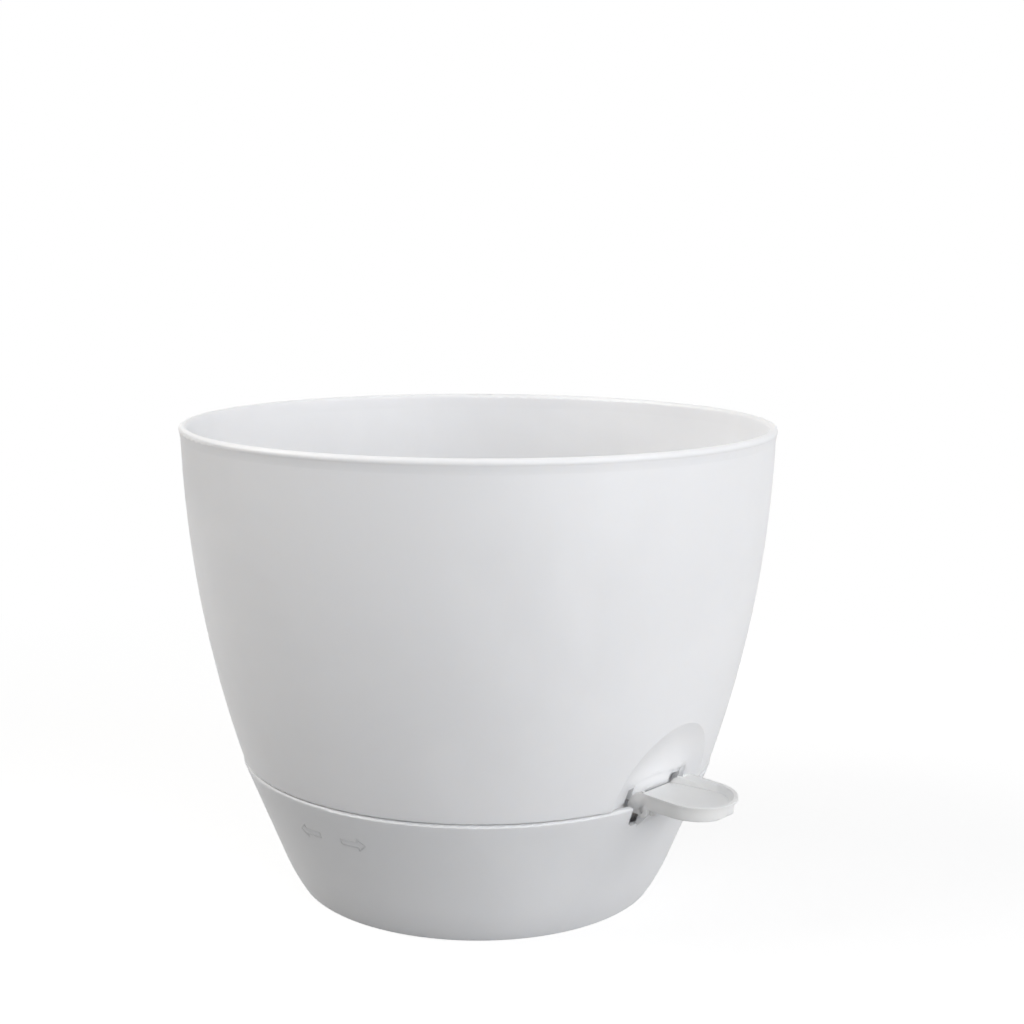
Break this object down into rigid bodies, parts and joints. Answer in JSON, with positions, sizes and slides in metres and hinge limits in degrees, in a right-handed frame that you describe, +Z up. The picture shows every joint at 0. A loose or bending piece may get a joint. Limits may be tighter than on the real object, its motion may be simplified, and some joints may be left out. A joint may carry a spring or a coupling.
{
  "type": "self watering planter",
  "caption": "Round tapered plant pot on a deep water reservoir, with a fold-out filling tray in a finger recess at the seam and a slotted wick basket inside.",
  "frame": {"origin": "centre of the round foot, on the surface that the planter stands on", "axes": "+Z up the planter's axis, the filling tray points along -Y, +X to the right seen from the tray's side"},
  "size_m": [0.254, 0.2618, 0.2016],
  "materials": {
    "reservoir": "satin",
    "pot": "satin",
    "tray": "satin",
    "pin": "satin",
    "basket": "matte"
  },
  "bodies": {
    "base": {"reservoir": "reservoir"},
    "planter": {"pot": "pot"},
    "tray": {"filling_tray": "tray", "hinge_pin": "pin"},
    "basket": {"wick_basket": "basket"}
  },
  "joints": [
    {"name": "tray_fold", "type": "hinge", "parent": "base", "child": "tray", "pos_m": [0, -0.1022, 0.0557], "axis": [-1, 0, 0], "range_deg": [0, 60]},
    {"name": "pot_lift", "type": "slide", "parent": "base", "child": "planter", "axis": [0, 0, 1], "range_m": [0, 0.09]},
    {"name": "basket_lift", "type": "slide", "parent": "planter", "child": "basket", "axis": [0, 0, 1], "range_m": [0, 0.2]}
  ]
}
